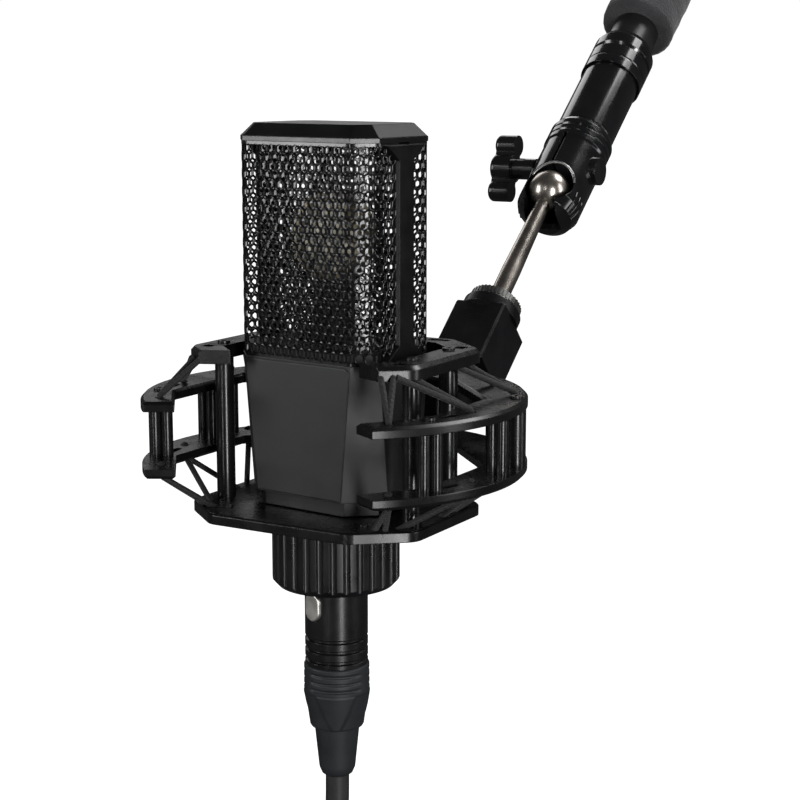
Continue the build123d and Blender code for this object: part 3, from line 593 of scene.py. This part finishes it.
def front_panel():
    """The plain plate on the body's face, with rounded upper corners and a bevelled edge."""
    top, low = BODY_TOP - 0.5, BODY_LOW + 0.3
    half_top, half_low, corner = HALF_X - CUT - 0.2, HALF_X - 10.0 - 0.2, 2.2
    outline = [(half_low, low)]
    for i in range(7):
        angle = radians(15 * i)
        outline.append((half_top - corner + corner * cos(angle), top - corner + corner * sin(angle)))
    outline += [(-x, z) for x, z in reversed(outline)]
    middle = Vector((0, (top + low) / 2))
    points = []
    bevel = [(0, PANEL_PROUD - 0.3), (0.1, PANEL_PROUD - 0.1), (0.35, PANEL_PROUD)]
    for inset, proud in [(0, -0.6), *bevel]:
        for x, z in outline:
            spot = Vector((x, z))
            spot += (middle - spot).normalized() * inset * 1.4
            face = HALF_Y + 0.2 * (z - BODY_LOW) / (BODY_TOP - BODY_LOW)
            points.append(mic(spot.x, -(face + proud), spot.y))
    count = len(outline)
    faces = grid_faces(4, count) + [tuple(range(count)), tuple(range(3 * count, 4 * count))]
    return link(new_mesh("face_panel", points, faces, smooth=False), "grey_panel", "microphone")


front_panel()

# ---------------------------------------------------------------- capsule leads


def capsule_leads():
    """Two thin wires from the capsule down to the board below the platform."""
    routes = []
    for side in (1, -1):
        route = [(side * 3, -5.2, -36), (side * 6, -8, -44), (side * 8, -7, -52), (side * 8, -6, -62.5)]
        routes.append([mic(*p) for p in route])
    return link(tubes("capsule_leads", routes, 0.45 * MM), "black_plastic", "microphone")


capsule_leads()

# ---------------------------------------------------------------- elastic cords

ELASTIC_R = 0.9
RING_UPPER, RING_UPPER_T = -77.5, 3.1
RING_LOWER, RING_LOWER_T = -101.0, 3.0
CRADLE_UNDER, CRADLE_OVER = -67.8, -111.7

# Each strand starts in a hole of the ring and ends at a hook of the cradle, given for the right side.
UPPER_STRANDS = [
    ((40, -35), (32.5, -26.5)), ((40, -35), (35.5, -25)),
    ((51.5, -8), (37.5, -22.5)), ((51.5, -8), (38.5, -18)),
    ((49.5, 24), (38.5, 7)), ((49.5, 24), (37, 14)),
    ((36, 36), (24, 28)), ((36, 36), (28, 26)),
]
LOWER_STRANDS = [
    ((40, -35), (28.5, -24)), ((40, -35), (31.5, -23)),
    ((51.5, -8), (34, -18.5)), ((51.5, -8), (37, 0)),
    ((49.5, 24), (37, 5)), ((49.5, 24), (34, 18)),
    ((36, 36), (22, 28)), ((36, 36), (26.5, 26)),
]


def strand_route(side, hole, hook, ring_z, ring_t, cradle_z):
    """A strand: from its knot on the ring's far face, through the hole and over to the cradle."""
    way = 1 if cradle_z > ring_z else -1
    (x0, y0), (x1, y1) = hole, hook
    start = Vector((x0, y0, ring_z + way * 0.6))
    end = Vector((x1, y1, cradle_z + way * 0.3))
    route = [Vector((x0, y0, ring_z - way * depth)) for depth in (ring_t + 0.4, ring_t / 2)]
    route += [start, *[start.lerp(end, part) for part in (0.1, 0.35, 0.65, 0.9)]]
    route += [end, end + (end - start) * 0.1]
    return [mount(side * p.x, p.y, p.z) for p in route]


def knot(centre, radius):
    """The points and faces of a small round knot."""
    rows, columns = 7, 12
    points = []
    for r in range(rows):
        tilt = pi * (r + 0.5) / rows
        for c in range(columns):
            turn = 2 * pi * c / columns
            wobble = 1 + 0.12 * sin(3 * turn + 2 * tilt)
            spot = Vector((sin(tilt) * cos(turn), sin(tilt) * sin(turn), 0.8 * cos(tilt)))
            points.append(centre + spot * radius * wobble)
    ends = [tuple(range(columns)), tuple(range((rows - 1) * columns, rows * columns))]
    return points, grid_faces(rows, columns) + ends


def join(name, *parts):
    """One mesh object from several, and the parts are dropped."""
    work = bmesh.new()
    for part in parts:
        work.from_mesh(part.data)
        bpy.data.objects.remove(part)
    data = bpy.data.meshes.new(name)
    work.to_mesh(data)
    work.free()
    for face in data.polygons:
        face.use_smooth = True
    return bpy.data.objects.new(name, data)


def elastics(name, strands, side, ring_z, ring_t, cradle_z):
    """All the elastic of one side and level, which stretches between the ring and the cradle."""
    way = 1 if cradle_z > ring_z else -1
    routes = [strand_route(side, hole, hook, ring_z, ring_t, cradle_z) for hole, hook in strands]
    points, faces = [], []
    for x, y in sorted({hole for hole, _ in strands}):
        more, around = knot(mount(side * x, y, ring_z - way * ring_t), 1.2 * MM)
        faces += [tuple(len(points) + v for v in face) for face in around]
        points += more
    knots = new_mesh(name + "_knots", points, faces)
    piece = join(name + "_cord", tubes(name, routes, ELASTIC_R * MM), knots)
    link(piece, "braided_elastic")
    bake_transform(piece)
    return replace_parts(piece, name)


for side, word in ((1, "right"), (-1, "left")):
    elastics(f"elastic_upper_{word}", UPPER_STRANDS, side, RING_UPPER, RING_UPPER_T, CRADLE_UNDER)
    elastics(f"elastic_lower_{word}", LOWER_STRANDS, side, RING_LOWER, RING_LOWER_T, CRADLE_OVER)

# ---------------------------------------------------------------- ball head

HEAD_R = 11.8
MOUTH_R = 8.35
MOUTH_SLOPE = 0.5       # how far the mouth turns to the right, as in the design


def mouth_rim_highlight():
    """A bead round the upper part of the ball's mouth, where it meets the round head: its pale bright steel is a
    painted highlight on the gloss-black rim.
    """
    facing = (ARM_FRONT + RIGHT * MOUTH_SLOPE).normalized()
    across = ARM_DIR.cross(facing)
    offset = (BALL - ARM_FOOT).dot(ARM_FRONT) / MM
    route = []
    for i in range(29):
        angle = radians(20 + 5 * i)
        spot = across * MOUTH_R * cos(angle) + ARM_DIR * MOUTH_R * sin(angle) + ARM_FRONT * offset
        flat = spot - ARM_DIR * spot.dot(ARM_DIR)
        along = flat.dot(facing)
        out = sqrt(along**2 + HEAD_R**2 - flat.length_squared) - along - 0.2
        route.append(ARM_FOOT + (spot + facing * out) * MM)
    # The pale steel of this bead is a painted highlight on the head's rim.
    return link(tubes("mouth_rim_highlight", [route], 0.5 * MM), "bright_steel", "head")


def jaw_ribs():
    """Three short grip ribs on each jaw."""
    routes = []
    for side in (1, -1):
        for k in range(3):
            angle = radians(12 * k - 5)
            out = RIGHT * side * cos(angle) + ARM_FRONT * sin(angle)
            ends = [(-8.6, 9.9), (-7.0, 10.7), (-4.5, 11.6), (-1.5, 11.75), (0.5, 11.3)]
            routes.append([ARM_FOOT + (ARM_DIR * w + out * r) * MM for w, r in ends])
    return link(tubes("jaw_ribs", routes, 0.55 * MM), "gloss_black", "head")


SEAT_LOW, SEAT_TOP = -8.0, 8.4
SEAT_T = 3.0
TAPER_FROM, TAPER_SLOPE = -4.7, 0.4     # the head narrows below this place on its axis


def seat_wall():
    """The wall behind the ball, which closes the back of the head just under its surface."""
    steps, rows = 24, 9
    arc = [pi * (c / steps - 0.5) for c in range(steps + 1)]
    points = []
    for r in range(rows):
        place = SEAT_LOW + (SEAT_TOP - SEAT_LOW) * r / (rows - 1)
        outer = HEAD_R - 0.2 - TAPER_SLOPE * max(0.0, TAPER_FROM - place)
        for angle, radius in [(a, outer) for a in arc] + [(a, outer - SEAT_T) for a in reversed(arc)]:
            out = RIGHT * sin(angle) - ARM_FRONT * cos(angle)
            points.append(ARM_FOOT + (ARM_DIR * place + out * radius) * MM)
    around = 2 * (steps + 1)
    ends = [tuple(range(around)), tuple(range((rows - 1) * around, rows * around))]
    piece = new_mesh("seat_wall", points, grid_faces(rows, around) + ends)
    return link(sharpen(piece, 40), "gloss_black", "head")


mouth_rim_highlight()
jaw_ribs()
seat_wall()

# ---------------------------------------------------------------- foam grip

FOAM_R = 14.7
FOAM_LOW, FOAM_TOP = 97.0, 148.0


def foam_grip():
    """The foam sleeve: soft rounded ends, shallow dents and a slightly uneven skin."""
    bore = 9.0

    def radius_at(place, angle):
        near_end = min(place - FOAM_LOW, FOAM_TOP - place)
        round_end = 2.4 * (1 - sqrt(max(0.0, 1 - (1 - min(near_end / 2.4, 1.0)) ** 2)))
        dent = 0.18 * sin(3 * angle + place * 0.21) * sin(place * 0.37 + 1.0)
        skin = 0.1 * sin(17 * angle + place * 1.9) * sin(11 * angle - place * 2.7)
        return FOAM_R - 0.3 - round_end + dent + skin

    steps = 90
    places = [FOAM_LOW + (FOAM_TOP - FOAM_LOW) * smooth_step(i / steps) for i in range(steps + 1)]
    columns = 140
    side = ARM_DIR.cross(RIGHT)
    points = []
    for place in [places[0], *places, places[-1]]:
        first_or_last = len(points) in (0, (steps + 2) * columns)
        for c in range(columns):
            angle = 2 * pi * c / columns
            radius = bore if first_or_last else radius_at(place, angle)
            out = RIGHT * cos(angle) + side * sin(angle)
            points.append(ARM_FOOT + (ARM_DIR * place + out * radius) * MM)
    piece = new_mesh("foam_sleeve", points, grid_faces(steps + 3, columns))
    link(piece, "foam", "arm")
    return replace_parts(piece, "foam_grip")


foam_grip()

# ---------------------------------------------------------------- floor and light

FLOOR_Z = cad_box[0][2] - 0.35


def plain_emitter(name, color, strength):
    """A plain pale surface that is as bright everywhere."""
    material = bpy.data.materials.new(name)
    material.use_nodes = True
    shader = material.node_tree.nodes["Principled BSDF"]
    shader.inputs["Base Color"].default_value = (*color, 1)
    shader.inputs["Roughness"].default_value = 0.9
    shader.inputs["Emission Color"].default_value = (*color, 1)
    shader.inputs["Emission Strength"].default_value = strength
    return material


def pale_floor():
    """A plain floor well below the hanging part, which casts no light on it."""
    size = 30.0
    corners = [(x * size, y * size, FLOOR_Z) for x, y in ((-1, -1), (1, -1), (1, 1), (-1, 1))]
    data = bpy.data.meshes.new("floor")
    data.from_pydata(corners, [], [(0, 1, 2, 3)])
    floor = bpy.data.objects.new("floor", data)
    data.materials.append(plain_emitter("pale_floor", (0.97, 0.97, 0.97), 1.1))
    bpy.context.scene.collection.objects.link(floor)
    floor.visible_diffuse = False
    floor.visible_glossy = False


def studio_world():
    """White behind the part, and a dimmer even light on it."""
    world = bpy.data.worlds.new("studio")
    bpy.context.scene.world = world
    world.use_nodes = True
    tree = world.node_tree
    background = tree.nodes["Background"]
    background.inputs["Color"].default_value = (1, 1, 1, 1)
    rays = add_node(tree, "LightPath")
    strength = add_node(tree, "MapRange", {"To Min": 0.045, "To Max": 1.0})
    tree.links.new(rays.outputs["Is Camera Ray"], strength.inputs["Value"])
    tree.links.new(strength.outputs["Result"], background.inputs["Strength"])


TARGET = mount(0, 30, -60)


def soft_box(name, place, width, height, power):
    """A rectangular area light that faces the part."""
    light = bpy.data.lights.new(name, "AREA")
    light.shape = "RECTANGLE"
    light.size, light.size_y = width, height
    light.energy = power
    lamp = bpy.data.objects.new(name, light)
    lamp.location = place
    lamp.rotation_euler = (TARGET - Vector(place)).to_track_quat("-Z", "Y").to_euler()
    bpy.context.scene.collection.objects.link(lamp)


pale_floor()
studio_world()
soft_box("left_box", mount(-900, -950, 200), 0.35, 0.7, 6)
soft_box("front_box", mount(40, -1250, 60), 0.08, 0.9, 2.5)
soft_box("right_box", mount(930, -740, -110), 0.16, 0.8, 8)
soft_box("side_box", mount(1100, 250, 150), 0.3, 0.9, 4)
soft_box("top_box", mount(450, 700, 850), 0.6, 0.4, 6)
soft_box("back_box", mount(-850, 950, 650), 0.9, 0.6, 3)
bpy.context.scene.view_settings.view_transform = "Standard"
